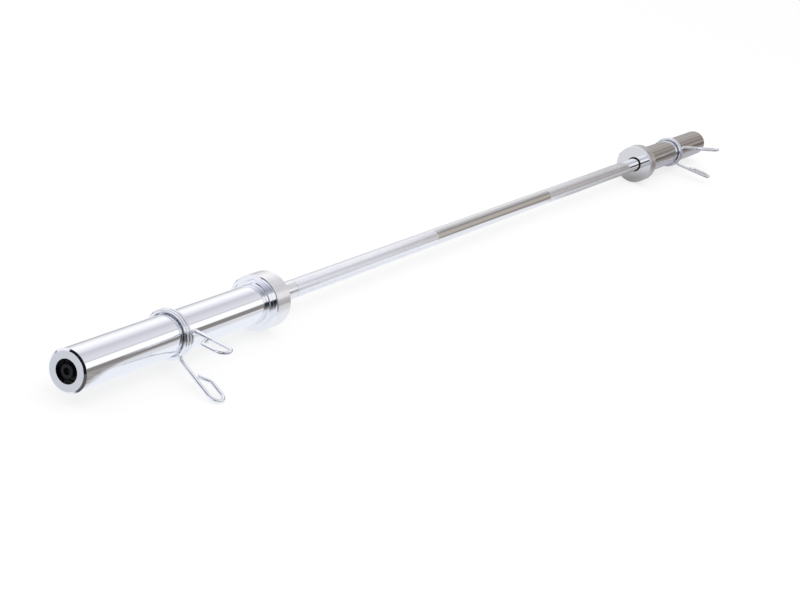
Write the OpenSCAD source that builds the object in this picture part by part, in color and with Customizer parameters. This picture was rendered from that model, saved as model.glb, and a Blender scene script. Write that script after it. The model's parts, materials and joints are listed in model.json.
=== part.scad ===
// Weight-lifting barbell with turning sleeves and two sprung wire clips.
// X runs along the bar, from the left end to the right end, and Z is up.
// The origin is on the bar's axis, half way along it.

/* [Overall] */
// Length of the bar, from the face of one sleeve to the face of the other
bar_length = 2200; // [1800:10:2400]

/* [Shaft] */
// Diameter of the grip between the collars
grip_d = 25; // [24:0.5:29]
// Diameter of the shaft inside the inner bushing and along the sleeve
inner_journal_d = 22; // [20.5:0.5:23]
// Diameter of the shaft inside the outer bushing
outer_journal_d = 20; // [16:0.5:20]
// Chamfer on the shaft's own ends and steps
shaft_chamfer = 0.8; // [0.3:0.1:1]

/* [Sleeves] */
// Outer diameter of the sleeve that takes the weight plates
sleeve_d = 50; // [48:0.5:50.5]
// Length of sleeve left free for plates, outside the collar
sleeve_loadable = 360; // [250:5:430]
// Chamfer around the sleeve's end face
end_chamfer = 2.5; // [0.5:0.1:4]
// Step down from the sleeve to the seat that the collar is pressed on
seat_step = 0.5; // [0.3:0.1:1]
// Width of the ledge at the bottom of the recess in the sleeve's end face
recess_ledge = 1; // [0.8:0.1:2]

/* [Collars] */
// Diameter of the collar's flange
collar_d = 72; // [66:1:90]
// Width of the collar's flange
flange_w = 32; // [20:1:45]
// Diameter of the step that the plates bear on
hub_d = 59; // [56:1:62]
// Width of the step that the plates bear on
hub_w = 8; // [4:1:14]
// Chamfer on the collar's edges
collar_chamfer = 1.2; // [0.4:0.1:2]
// Gap between the sleeve and the collar's mouth, where its bore has a lead-in
mouth_gap = 0.1; // [0.05:0.05:0.5]
// Thickness of the collar's inner end wall, which holds the dust seal
collar_wall = 6; // [5:0.5:9]

/* [Bearings] */
// Length of each plain bushing, with its flange
bushing_length = 32; // [20:1:60]
// Thickness of the wall of the inner bushing
bushing_wall = 1.95; // [1.5:0.05:2.5]
// Thickness of the flange on each bushing
bushing_flange_t = 2; // [1.5:0.1:3]
// Width of the inner bushing's flange, outside the sleeve's bore
inner_flange_w = 2.8; // [2:0.1:4]
// How far the outer journal runs on past its bushing
journal_reach = 4; // [2:1:10]
// Thickness of the thrust washer behind the shaft's shoulder
thrust_washer_t = 1.6; // [1:0.1:3]
// Thickness of the dust seal, from the grip outward
seal_t = 2; // [1.5:0.1:3.5]
// Width of the dust seal
seal_w = 5; // [3:0.5:5]
// Gap between the sleeve's inner end and the dust seal
seal_gap = 0.4; // [0.2:0.1:1]
// Running clearance all round a journal, and between the seal and the grip
running_gap = 0.05; // [0.02:0.01:0.1]
// End float of the sleeve at each thrust face
axial_play = 0.2; // [0.1:0.05:0.5]
// Loose clearance all round a washer's hole, and round the outer bushing's flange
washer_gap = 0.2; // [0.1:0.05:0.4]
// Clearance all round the inner bushing's flange
counterbore_gap = 0.4; // [0.2:0.1:1]

/* [End fastening] */
// Diameter of the bolt's thread
bolt_d = 10; // [8:1:10]
// Length of the bolt under its head
bolt_length = 30; // [24:1:45]
// Depth of the tapped hole past the bolt's tip
tapped_spare = 6; // [3:1:12]
// Diameter of the bolt's head
bolt_head_d = 16; // [15:0.5:18]
// Height of the bolt's head
bolt_head_h = 10; // [8:0.5:12]
// Depth of the head below the sleeve's end face
head_setback = 0.6; // [0.2:0.1:3]
// Hexagon socket, across the flats
socket_af = 8; // [6:0.5:8]
// Depth of the hexagon socket
socket_depth = 5; // [3:0.5:6]
// Clearance all round the retaining washer, in the sleeve's recess
retaining_washer_gap = 0.5; // [0.3:0.1:0.8]
// Thickness of the retaining washer
retaining_washer_t = 3; // [2:0.25:5]
// Outer diameter of the split lock washer
lock_washer_d = 18; // [15:0.5:20]
// Thickness of the split lock washer
lock_washer_t = 2.2; // [1.5:0.1:3]
// Angle left open by the split in the lock washer
lock_washer_split = 9; // [5:1:20]

/* [Spring clips] */
// Diameter of the clip's wire
wire_d = 5; // [4:0.25:5.5]
// Clearance between the clip's wire and the sleeve
clip_gap = 0.7; // [0.65:0.05:1.2]
// Gap between neighbouring turns of the coil
turn_gap = 0.6; // [0.5:0.05:1.5]
// Whole turns in the coil
coil_turns = 2; // [2:1:3]
// Angle by which the two handles stand apart
handle_spread = 22; // [14:1:34]
// Angle by which the handles lean towards the free end of the sleeve
handle_lean = 18; // [0:1:32]
// Length of a handle's leg, from its root bend to its tip
leg_length = 74; // [65:1:110]
// Width of the loop at the end of a handle, between wire centres
loop_w = 20; // [15:0.5:24]
// Length of the loop's returning wire
return_length = 32; // [26:1:38]
// Distance along the leg from its root to the wire's free end
free_end_at = 32; // [24:1:38]
// Gap between the wire's free end and the leg
free_end_gap = 1; // [0.6:0.1:3]
// Radius of the root bend of a handle, at the wire's centre
root_bend_r = 6; // [4:0.5:9]
// Straight wire on each side of the root bend
root_straight = 1; // [0.5:0.5:4]
// Straight wire at the tip of the loop, between its two bends
tip_straight = 0.4; // [0.2:0.1:4]
// Radius of the bend before the wire's free end
end_bend_r = 5; // [3:0.5:6]
// Distance of the left clip's middle from the left end of the bar
left_clip_at = 186; // [60:1:300]
// Distance of the right clip's middle from the right end of the bar
right_clip_at = 182; // [60:1:300]
// Height of the left clip's lower handle above what the bar lies on
floor_gap = 0.3; // [0.2:0.1:2]
// Angle by which the left clip is turned up from there
left_clip_turn = 0; // [0:0.5:60]
// Angle by which the right clip is turned up from there
right_clip_turn = 8.5; // [0:0.5:60]

/* [Hidden] */

// Sides of a turned part, and of a bolt or a washer
round_fn = 96;
small_fn = 64;
// Rings in each turn of the coil, degrees between rings of a bend, and sides of the wire
rings_per_turn = 40;
bend_step = 15;
wire_sides = 8;

chrome = [0.86, 0.86, 0.89];
bronze = [0.72, 0.52, 0.28];
steel = [0.62, 0.63, 0.65];
black = [0.10, 0.10, 0.11];

LEFT = -1;
RIGHT = 1;

// Diameters that follow from what each piece seats on
sleeve_bore_d = inner_journal_d + 2 * (running_gap + bushing_wall);
recess_d = sleeve_bore_d + 2 * recess_ledge;
inner_flange_d = sleeve_bore_d + 2 * inner_flange_w;
counterbore_d = inner_flange_d + 2 * counterbore_gap;
collar_seat_d = sleeve_d - 2 * seat_step;
collar_mouth_d = sleeve_d + 2 * mouth_gap;
seal_d = grip_d + 2 * seal_t;
retaining_washer_d = recess_d - 2 * retaining_washer_gap;
washer_hole_d = bolt_d + 2 * washer_gap;

// Distances along the bar from its end face, working inward through the stack of parts
head_top = head_setback;
lock_washer_from = head_top + bolt_head_h;
retaining_washer_from = lock_washer_from + lock_washer_t;
shaft_end = retaining_washer_from + retaining_washer_t;
outer_bushing_from = shaft_end + axial_play;
recess_depth = outer_bushing_from + bushing_flange_t;
outer_bushing_to = outer_bushing_from + bushing_length;
outer_step_at = outer_bushing_to + journal_reach;
collar_from = sleeve_loadable;
collar_to = sleeve_loadable + hub_w + flange_w;
sleeve_to = collar_to - collar_wall;
shoulder_at = sleeve_to - axial_play;
inner_bushing_to = shoulder_at - thrust_washer_t - axial_play;
inner_bushing_from = inner_bushing_to - bushing_length;
counterbore_from = inner_bushing_to - bushing_flange_t;
seal_from = sleeve_to + seal_gap;

tapped_depth = bolt_length - retaining_washer_t - lock_washer_t + tapped_spare;
thread_gap = 0.05;
// How far a cut starts outside the face that it goes through
cut_over = 1;

// The clip's wire: its coil, then the corners of each handle
wire_r = wire_d / 2;
coil_r = sleeve_d / 2 + clip_gap + wire_r;
pitch = wire_d + turn_gap;
wrap = 360 * coil_turns + handle_spread;
lead = wire_d;
coil_width = pitch * wrap / 360;

function unit(v) = v / norm(v);

function radial(a) = [0, -cos(a), sin(a)];

function along(a) = unit([pitch / 360, coil_r * sin(a) * PI / 180, coil_r * cos(a) * PI / 180]);

function coil_point(a) =
  [pitch * (a + handle_spread / 2) / 360 - coil_width / 2, 0, 0] + coil_r * radial(a);

// Points around one corner, turned to a radius
function corner(before, at, after, r) =
  let (
    from = unit(at - before),
    to = unit(after - at),
    turn = acos(from * to),
    inward = unit(to - (to * from) * from),
    start = at - from * r * tan(turn / 2),
    steps = ceil(turn / bend_step)
  )
  [
    for (i = [0:steps])
      let (a = turn * i / steps)
      start + r * (sin(a) * from + (1 - cos(a)) * inward)
  ];

// A handle from the coil outward: it leaves along the coil, turns outward, and ends in an open loop
function handle(a, out, side) =
  let (
    start = coil_point(a),
    tangent = out * along(a),
    leg = cos(handle_lean) * radial(a) - sin(handle_lean) * [1, 0, 0],
    across = side * (cos(handle_lean) * [1, 0, 0] + sin(handle_lean) * radial(a)),
    root = start + tangent * (lead + root_straight + root_bend_r),
    tip = root + leg * leg_length,
    far = tip + across * loop_w,
    back = far - leg * return_length,
    end = root + leg * free_end_at + across * (wire_d + free_end_gap),
    tip_r = (loop_w - tip_straight) / 2
  )
  concat(
    [start + tangent * lead],
    corner(start, root, tip, root_bend_r),
    corner(root, tip, far, tip_r),
    corner(tip, far, back, tip_r),
    corner(far, back, end, end_bend_r),
    [end]
  );

function backward(list) = [for (i = [len(list) - 1:-1:0]) list[i]];

first_angle = -handle_spread / 2;
last_angle = wrap - handle_spread / 2;
coil_steps = ceil(wrap / 360 * rings_per_turn);
coil = [for (i = [0:coil_steps]) coil_point(first_angle + wrap * i / coil_steps)];
first_handle = backward(handle(first_angle, -1, 1));
last_handle = handle(last_angle, 1, -1);
wire = concat(first_handle, coil, last_handle);
coil_first = len(first_handle) - 1;
coil_last = coil_first + len(coil) + 1;

// A frame that follows the whole wire with no twist, so that the three stretches meet ring to ring
wire_last = len(wire) - 1;
headings = [for (i = [0:wire_last]) unit(wire[min(i + 1, wire_last)] - wire[max(i - 1, 0)])];
function level(n, i) = unit(n - (n * headings[i]) * headings[i]);
normals = [
  for (
    i = 0, n = level([0, 0, 1], 0);
    i <= wire_last;
    n = level(n, min(i + 1, wire_last)), i = i + 1
  )
    n
];
function ring(i) = [
  for (k = [0:wire_sides - 1])
    let (a = 360 * (k + 0.5) / wire_sides)
    wire[i] + wire_r * (cos(a) * normals[i] + sin(a) * cross(headings[i], normals[i]))
];

// The angle at which the first point of the lower handle comes down to its height above the ground,
// which the collars stand on
ground_depth = collar_d / 2 - floor_gap - wire_r;
function settled(side) =
  min([
    for (p = side == LEFT ? first_handle : last_handle)
      let (reach = norm([p[1], p[2]]))
      if (reach > ground_depth) asin(ground_depth / reach) - atan2(side * p[2], -p[1])
  ]);
left_tilt = settled(LEFT) - left_clip_turn;
right_tilt = settled(RIGHT) - right_clip_turn;

// Least gap of the wire to itself, over all places further apart along it than a few diameters
near_along = 4 * wire_d;
run = [
  for (
    i = 0, s = 0;
    i <= wire_last;
    s = s + norm(wire[min(i + 1, wire_last)] - wire[i]), i = i + 1
  )
    s
];
function to_segment(p, a, b) =
  let (t = (p - a) * (b - a) / ((b - a) * (b - a)))
  norm(p - a - max(0, min(1, t)) * (b - a));
wire_clearance = min([
  for (i = [0:wire_last])
    for (j = [0:wire_last - 1])
      if (run[j] - run[i] > near_along || run[i] - run[j + 1] > near_along)
        to_segment(wire[i], wire[j], wire[j + 1])
]) - wire_d;
echo(least_gap_of_wire_to_itself_mm = wire_clearance);

coil_inside_r = min([for (p = coil) norm([p[1], p[2]])]) * cos(180 / rings_per_turn) - wire_r;
echo(least_gap_to_sleeve_mm = coil_inside_r - sleeve_d / 2);
echo(coil_width_mm = coil_width, left_tilt = left_tilt, right_tilt = right_tilt);

// A turned part on the bar's axis, from [radius, distance] corners
module turned(profile, fn = round_fn) {
  rotate([0, 90, 0])
    rotate_extrude($fn = fn)
      polygon(profile);
}

module at_end(side) {
  translate([side * bar_length / 2, 0, 0])
    rotate([0, 0, side == RIGHT ? 180 : 0])
      children();
}

module plain_ring(outer_d, inner_d, from, to, fn = round_fn) {
  turned([
    [inner_d / 2, from],
    [outer_d / 2, from],
    [outer_d / 2, to],
    [inner_d / 2, to]
  ], fn);
}

module shaft() {
  c = shaft_chamfer;
  mid = bar_length / 2;
  step = (inner_journal_d - outer_journal_d) / 2;
  color(chrome)
    difference() {
      for (side = [LEFT, RIGHT])
        at_end(side)
          turned([
            [0, shaft_end],
            [outer_journal_d / 2 - c, shaft_end],
            [outer_journal_d / 2, shaft_end + c],
            [outer_journal_d / 2, outer_step_at],
            [inner_journal_d / 2, outer_step_at + step],
            [inner_journal_d / 2, shoulder_at],
            [grip_d / 2, shoulder_at],
            [grip_d / 2, mid],
            [0, mid]
          ]);
      for (side = [LEFT, RIGHT])
        at_end(side)
          translate([shaft_end - cut_over, 0, 0])
            rotate([0, 90, 0])
              cylinder(d = bolt_d, h = tapped_depth + cut_over, $fn = small_fn);
    }
}

module sleeve(side) {
  c = end_chamfer;
  color(chrome)
    at_end(side)
      turned([
        [recess_d / 2, 0],
        [sleeve_d / 2 - c, 0],
        [sleeve_d / 2, c],
        [sleeve_d / 2, collar_from],
        [collar_seat_d / 2, collar_from],
        [collar_seat_d / 2, sleeve_to],
        [counterbore_d / 2, sleeve_to],
        [counterbore_d / 2, counterbore_from],
        [sleeve_bore_d / 2, counterbore_from],
        [sleeve_bore_d / 2, recess_depth],
        [recess_d / 2, recess_depth]
      ]);
}

module collar(side) {
  c = collar_chamfer;
  flange_from = collar_from + hub_w;
  color(chrome)
    at_end(side)
      turned([
        [collar_seat_d / 2, collar_from + (collar_mouth_d - collar_seat_d) / 2],
        [collar_mouth_d / 2, collar_from],
        [hub_d / 2 - c, collar_from],
        [hub_d / 2, collar_from + c],
        [hub_d / 2, flange_from],
        [collar_d / 2 - c, flange_from],
        [collar_d / 2, flange_from + c],
        [collar_d / 2, collar_to - c],
        [collar_d / 2 - c, collar_to],
        [seal_d / 2, collar_to],
        [seal_d / 2, sleeve_to],
        [collar_seat_d / 2, sleeve_to]
      ]);
}

module inner_bushing(side) {
  bore_r = inner_journal_d / 2 + running_gap;
  color(bronze)
    at_end(side)
      turned([
        [bore_r, inner_bushing_from],
        [sleeve_bore_d / 2, inner_bushing_from],
        [sleeve_bore_d / 2, counterbore_from],
        [inner_flange_d / 2, counterbore_from],
        [inner_flange_d / 2, inner_bushing_to],
        [bore_r, inner_bushing_to]
      ]);
}

module outer_bushing(side) {
  bore_r = outer_journal_d / 2 + running_gap;
  color(bronze)
    at_end(side)
      turned([
        [bore_r, outer_bushing_from],
        [recess_d / 2 - washer_gap, outer_bushing_from],
        [recess_d / 2 - washer_gap, recess_depth],
        [sleeve_bore_d / 2, recess_depth],
        [sleeve_bore_d / 2, outer_bushing_to],
        [bore_r, outer_bushing_to]
      ]);
}

module thrust_washer(side) {
  color(steel)
    at_end(side)
      plain_ring(
        inner_flange_d,
        inner_journal_d + 2 * washer_gap,
        shoulder_at - thrust_washer_t,
        shoulder_at
      );
}

module dust_seal(side) {
  color(black)
    at_end(side)
      plain_ring(
        seal_d,
        grip_d + 2 * running_gap,
        seal_from,
        seal_from + seal_w
      );
}

module retaining_washer(side) {
  color(black)
    at_end(side)
      plain_ring(retaining_washer_d, washer_hole_d, retaining_washer_from, shaft_end);
}

module lock_washer(side) {
  color(black)
    at_end(side)
      rotate([0, 90, 0])
        rotate_extrude(angle = 360 - lock_washer_split, $fn = small_fn)
          translate([washer_hole_d / 2, lock_washer_from])
            square([(lock_washer_d - washer_hole_d) / 2, lock_washer_t]);
}

module end_bolt(side) {
  c = shaft_chamfer;
  shank_r = bolt_d / 2 - thread_gap;
  tip = lock_washer_from + bolt_length;
  color(black)
    at_end(side)
      difference() {
        turned([
          [0, head_top],
          [bolt_head_d / 2 - c, head_top],
          [bolt_head_d / 2, head_top + c],
          [bolt_head_d / 2, lock_washer_from],
          [shank_r, lock_washer_from],
          [shank_r, tip - c],
          [shank_r - c, tip],
          [0, tip]
        ], small_fn);
        translate([head_top - cut_over, 0, 0])
          rotate([0, 90, 0])
            cylinder(d = socket_af / cos(30), h = socket_depth + cut_over, $fn = 6);
      }
}

// The clip on one side. The right one is the same part, turned end for end.
module clip_place(side) {
  x = side == LEFT ? left_clip_at - bar_length / 2 : bar_length / 2 - right_clip_at;
  translate([x, 0, 0])
    rotate([side == LEFT ? left_tilt : right_tilt, 0, 0])
      rotate([0, side == RIGHT ? 180 : 0, 0])
        children();
}

// One unbroken stretch of the wire, between two of its rings
module wire_stretch(from, to) {
  s = wire_sides;
  count = to - from + 1;
  points = [for (i = [from:to]) each ring(i)];
  walls = [
    for (i = [0:count - 2])
      for (k = [0:s - 1])
        let (a = i * s + k, b = i * s + (k + 1) % s)
        each [[a, a + s, b], [b, a + s, b + s]]
  ];
  near_cap = [for (k = [1:s - 2]) [0, k, k + 1]];
  far_cap = [for (k = [1:s - 2]) [(count - 1) * s, (count - 1) * s + k + 1, (count - 1) * s + k]];
  color(chrome)
    polyhedron(points, concat(walls, near_cap, far_cap));
}

module clip_coil(side) {
  clip_place(side) wire_stretch(coil_first, coil_last);
}

module clip_first_handle(side) {
  clip_place(side) wire_stretch(0, coil_first);
}

module clip_last_handle(side) {
  clip_place(side) wire_stretch(coil_last, wire_last);
}

module left_sleeve() { sleeve(LEFT); }
module left_collar() { collar(LEFT); }
module left_inner_bushing() { inner_bushing(LEFT); }
module left_outer_bushing() { outer_bushing(LEFT); }
module left_thrust_washer() { thrust_washer(LEFT); }
module left_dust_seal() { dust_seal(LEFT); }
module left_retaining_washer() { retaining_washer(LEFT); }
module left_lock_washer() { lock_washer(LEFT); }
module left_end_bolt() { end_bolt(LEFT); }
module left_clip_coil() { clip_coil(LEFT); }
module left_clip_lower_handle() { clip_first_handle(LEFT); }
module left_clip_upper_handle() { clip_last_handle(LEFT); }

module right_sleeve() { sleeve(RIGHT); }
module right_collar() { collar(RIGHT); }
module right_inner_bushing() { inner_bushing(RIGHT); }
module right_outer_bushing() { outer_bushing(RIGHT); }
module right_thrust_washer() { thrust_washer(RIGHT); }
module right_dust_seal() { dust_seal(RIGHT); }
module right_retaining_washer() { retaining_washer(RIGHT); }
module right_lock_washer() { lock_washer(RIGHT); }
module right_end_bolt() { end_bolt(RIGHT); }
module right_clip_coil() { clip_coil(RIGHT); }
module right_clip_lower_handle() { clip_last_handle(RIGHT); }
module right_clip_upper_handle() { clip_first_handle(RIGHT); }

shaft();
left_sleeve();
left_collar();
left_inner_bushing();
left_outer_bushing();
left_thrust_washer();
left_dust_seal();
left_retaining_washer();
left_lock_washer();
left_end_bolt();
left_clip_coil();
left_clip_lower_handle();
left_clip_upper_handle();
right_sleeve();
right_collar();
right_inner_bushing();
right_outer_bushing();
right_thrust_washer();
right_dust_seal();
right_retaining_washer();
right_lock_washer();
right_end_bolt();
right_clip_coil();
right_clip_lower_handle();
right_clip_upper_handle();
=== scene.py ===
"""A full-size barbell: a chromed bar with turning plate sleeves and wire spring clips, on a pale floor."""

import json
import math

import bmesh
import bpy
from bpy.props import FloatProperty, FloatVectorProperty, IntProperty, PointerProperty
from mathutils import Matrix, Vector


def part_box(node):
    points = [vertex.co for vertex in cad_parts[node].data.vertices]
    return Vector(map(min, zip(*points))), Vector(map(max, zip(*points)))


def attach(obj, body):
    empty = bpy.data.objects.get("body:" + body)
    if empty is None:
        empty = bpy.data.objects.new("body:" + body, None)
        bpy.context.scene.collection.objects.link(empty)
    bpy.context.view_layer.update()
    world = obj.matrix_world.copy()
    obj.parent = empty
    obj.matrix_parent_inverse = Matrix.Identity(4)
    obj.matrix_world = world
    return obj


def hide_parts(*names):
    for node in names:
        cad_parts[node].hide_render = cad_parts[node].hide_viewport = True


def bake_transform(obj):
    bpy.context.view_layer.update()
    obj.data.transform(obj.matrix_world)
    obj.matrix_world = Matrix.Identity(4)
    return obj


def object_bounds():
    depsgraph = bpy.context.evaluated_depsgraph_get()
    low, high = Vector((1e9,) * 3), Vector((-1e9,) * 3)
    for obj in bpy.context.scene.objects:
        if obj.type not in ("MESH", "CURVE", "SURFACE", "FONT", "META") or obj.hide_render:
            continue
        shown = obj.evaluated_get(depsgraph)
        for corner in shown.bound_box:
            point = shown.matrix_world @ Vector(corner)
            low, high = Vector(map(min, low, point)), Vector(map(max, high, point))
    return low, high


bl_info = {
    "name": "Barbell",
    "version": (1, 0, 0),
    "blender": (4, 5, 0),
    "location": "View3D > Sidebar > Barbell",
    "description": "Builds a chromed barbell with turning sleeves and wire spring clips",
    "category": "Object",
}

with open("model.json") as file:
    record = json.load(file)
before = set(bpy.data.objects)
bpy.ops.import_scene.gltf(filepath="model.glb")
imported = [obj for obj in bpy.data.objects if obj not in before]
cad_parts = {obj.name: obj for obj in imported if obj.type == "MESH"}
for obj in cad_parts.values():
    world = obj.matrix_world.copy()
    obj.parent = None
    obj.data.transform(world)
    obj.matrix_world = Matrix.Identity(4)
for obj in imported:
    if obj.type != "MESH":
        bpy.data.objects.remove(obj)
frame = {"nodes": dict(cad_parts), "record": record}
CAD_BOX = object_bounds()
MOUNTS = {mount["name"]: mount for mount in frame["record"]["mounts"]}
GRIP = MOUNTS["grip"]["dims"]
PLATE_SLEEVE = MOUNTS["left_plate_sleeve"]["dims"]

LEFT = -1
RIGHT = 1
SIDE_NAMES = {LEFT: "left", RIGHT: "right"}
MM = 0.001

# Two radii closer than this are taken as one.
NEAR = 0.01 * MM

# Points closer than this are merged when a piece is closed up.
MERGED = 0.002 * MM

# Faces that meet at less than this are shaded as one. The second is for the shaft, where a steeper bend must
# not tilt the shading of the long smooth stretches beside it.
SMOOTH_BELOW = math.radians(40)
SHAFT_SMOOTH_BELOW = math.radians(7)


def linear(hex_colour):
    """The linear colour of an sRGB hex value."""
    parts = [int(hex_colour[i : i + 2], 16) / 255 for i in (1, 3, 5)]
    return tuple(p / 12.92 if p <= 0.04045 else ((p + 0.055) / 1.055) ** 2.4 for p in parts)


def length(name, description, default_mm, low_mm=0.0):
    """A length property, written in millimetres and kept in metres."""
    return FloatProperty(
        name=name,
        description=description,
        default=default_mm * MM,
        min=low_mm * MM,
        unit="LENGTH",
        subtype="DISTANCE",
        precision=5,
    )


def angle(name, description, default_deg):
    """An angle property, written in degrees and kept in radians."""
    return FloatProperty(
        name=name,
        description=description,
        default=math.radians(default_deg),
        unit="ROTATION",
        subtype="ANGLE",
    )


def colour(name, description, hex_colour):
    """A colour property, written as sRGB and kept as linear light."""
    return FloatVectorProperty(
        name=name, description=description, default=linear(hex_colour), size=3, min=0, max=1, subtype="COLOR"
    )


class BarSizes(bpy.types.PropertyGroup):
    """Sizes of the shaft, the sleeves and the collars."""

    grip_radius: length("Grip radius", "Radius of the shaft between the collars", GRIP["r_mm"])
    grip_length: length("Grip length", "Length of the shaft between its two shoulders", GRIP["length_mm"])
    inner_journal_radius: length("Inner journal radius", "Radius of the shaft in the inner bushing", 11)
    outer_journal_radius: length("Outer journal radius", "Radius of the shaft in the outer bushing", 10)
    outer_journal_length: length("Outer journal length", "Length of the outer journal", 36.2)
    tapped_hole_radius: length("Tapped hole radius", "Radius of the hole that takes the end bolt", 5)
    tapped_hole_depth: length("Tapped hole depth", "Depth of the hole that takes the end bolt", 30.8)
    sleeve_radius: length("Sleeve radius", "Radius of the sleeve that takes the plates", PLATE_SLEEVE["r_mm"])
    end_chamfer: length("End chamfer", "Chamfer round the sleeve's end face", 2.5)
    recess_radius: length("Recess radius", "Radius of the recess in the sleeve's end face", 14)
    recess_depth: length("Recess depth", "Depth of that recess", 18)
    bore_radius: length("Bore radius", "Radius of the sleeve's bore", 13)
    counterbore_radius: length("Counterbore radius", "Radius of the bore round the inner flange", 16.2)
    counterbore_depth: length("Counterbore depth", "Depth of that bore from the sleeve's inner end", 4)
    collar_at: length("Collar position", "Distance of the collar's step from the end of the bar", 360)
    seat_radius: length("Seat radius", "Radius of the sleeve inside the collar", 24.5)
    seat_length: length("Seat length", "Length of the sleeve inside the collar", 34)
    mouth_radius: length("Mouth radius", "Radius of the collar's mouth, round the sleeve", 25.1)
    hub_radius: length("Hub radius", "Radius of the step that the plates bear on", 29.5)
    hub_width: length("Hub width", "Width of that step", 8)
    flange_radius: length("Flange radius", "Radius of the collar's flange", 36)
    flange_width: length("Flange width", "Width of the collar's flange", 32)
    collar_chamfer: length("Collar chamfer", "Chamfer on the collar's edges", 1.2)
    edge_round: length("Edge round", "Radius left on turned edges by polishing", 0.25)
    sides: IntProperty(
        name="Sides", description="Flats round a turned piece before it is shaded smooth", default=144, min=24
    )


class KnurlSizes(bpy.types.PropertyGroup):
    """Sizes of the two knurled grips."""

    inner_end: length("Inner end", "Distance of a knurled grip from the middle of the bar", 225)
    outer_end: length("Outer end", "Distance of the grip's far end from the middle of the bar", 642)
    depth: length("Depth", "Height of a diamond's flat top above its grooves", 0.12)
    diamond_length: length("Diamond length", "Length of one diamond along the bar", 3.6)
    run_out: length("Run-out", "Length over which the grooves fade at each end", 0.6)
    flat: FloatProperty(
        name="Flat",
        description="Share of a diamond's width that is left flat on top",
        default=0.8,
        min=0,
        max=0.9,
        subtype="FACTOR",
    )
    diamonds: IntProperty(name="Diamonds", description="Diamonds round the bar", default=34, min=12)


class FasteningSizes(bpy.types.PropertyGroup):
    """Sizes of the end bolt, its washer and the dust seal."""

    head_radius: length("Head radius", "Radius of the end bolt's head", 8)
    head_height: length("Head height", "Height of the end bolt's head", 10)
    head_setback: length("Head setback", "Depth of the head below the sleeve's end face", 0.6)
    head_round: length("Head round", "Rounding of the head's edges", 0.7)
    shank_radius: length("Shank radius", "Radius of the bolt's threaded shank", 4.95)
    shank_length: length("Shank length", "Length of the bolt under its head", 30)
    socket_flats: length("Socket flats", "Hexagon socket, across the flats", 8)
    socket_depth: length("Socket depth", "Depth of the hexagon socket", 5)
    socket_round: length("Socket round", "Rounding of the socket's edges", 0.15)
    washer_at: length("Washer position", "Distance of the retaining washer from the end of the bar", 12.8)
    washer_radius: length("Washer radius", "Radius of the retaining washer", 13.5)
    washer_hole_radius: length("Washer hole radius", "Radius of the hole in that washer", 5.2)
    washer_thickness: length("Washer thickness", "Thickness of the retaining washer", 3)
    seal_at: length("Seal position", "Distance of the dust seal from the end of the bar", 394.4)
    seal_width: length("Seal width", "Width of the dust seal", 5)
    seal_radius: length("Seal radius", "Outer radius of the dust seal", 14.5)
    seal_lip_radius: length("Seal lip radius", "Inner radius of the dust seal, round the grip", 12.55)


class ClipSizes(bpy.types.PropertyGroup):
    """Sizes of the two spring clips, which are alike."""

    wire_radius: length("Wire radius", "Radius of the clip's wire", 2.5)
    sleeve_gap: length("Sleeve gap", "Clearance between the wire and the sleeve", 0.7)
    turn_gap: length("Turn gap", "Gap between neighbouring turns", 0.6)
    turns: IntProperty(name="Turns", description="Whole turns in the coil", default=2, min=1)
    handle_spread: angle("Handle spread", "Angle by which the two handles stand apart", 22)
    handle_lean: angle("Handle lean", "Angle by which the handles lean towards the sleeve's free end", 18)
    leg_length: length("Leg length", "Length of a handle's leg", 74)
    loop_width: length("Loop width", "Width of the loop at the end of a handle", 20)
    return_length: length("Return length", "Length of the loop's returning wire", 32)
    free_end_at: length("Free end position", "Distance along the leg to the wire's free end", 32)
    free_end_gap: length("Free end gap", "Gap between the wire's free end and the leg", 1)
    root_bend_radius: length("Root bend radius", "Radius of a handle's root bend", 6)
    root_straight: length("Root straight", "Straight wire on each side of the root bend", 1)
    tip_straight: length("Tip straight", "Straight wire between the two bends of the loop", 0.4)
    end_bend_radius: length("End bend radius", "Radius of the bend before the free end", 5)
    end_round: length("End round", "Rounding of the wire's cut end", 0.6)
    left_at: length("Left clip position", "Distance of the left clip from the left end", 186)
    right_at: length("Right clip position", "Distance of the right clip from the right end", 182)
    left_turn: angle("Left clip turn", "Turn of the left clip up from where its handle rests", 0)
    right_turn: angle("Right clip turn", "Turn of the right clip up from where its handle would rest", 8.5)
    floor_gap: length("Floor gap", "Height of the resting handle above the floor", 0.3)


class Finishes(bpy.types.PropertyGroup):
    """Colours of the finishes."""

    bright_chrome: colour("Bright chrome", "Reflected colour of the polished chrome plate", "#F0F1F5")
    satin_chrome: colour("Satin chrome", "Reflected colour of the ground chrome on the shaft", "#E6E6E8")
    wire_plate: colour("Wire plating", "Reflected colour of the plated spring wire", "#F2F3F8")
    turned_rim: colour("Turned rim", "Reflected colour of the collars' plain turned rims", "#ECEBED")
    # Painted shade: a darker colour for the bottom of the knurl's grooves, where shade falls.
    painted_groove_shade: colour("Groove shade", "Darker tone in the bottom of the knurl's grooves", "#D8D8DC")
    bronze: colour("Bronze", "Reflected colour of the sintered bronze", "#C9925A")
    ground_steel: colour("Ground steel", "Reflected colour of the ground steel washers", "#B9BABD")
    black_oxide: colour("Black oxide", "Colour of the blackened steel", "#1A1B1E")
    rubber: colour("Rubber", "Colour of the nitrile rubber", "#141415")


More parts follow.
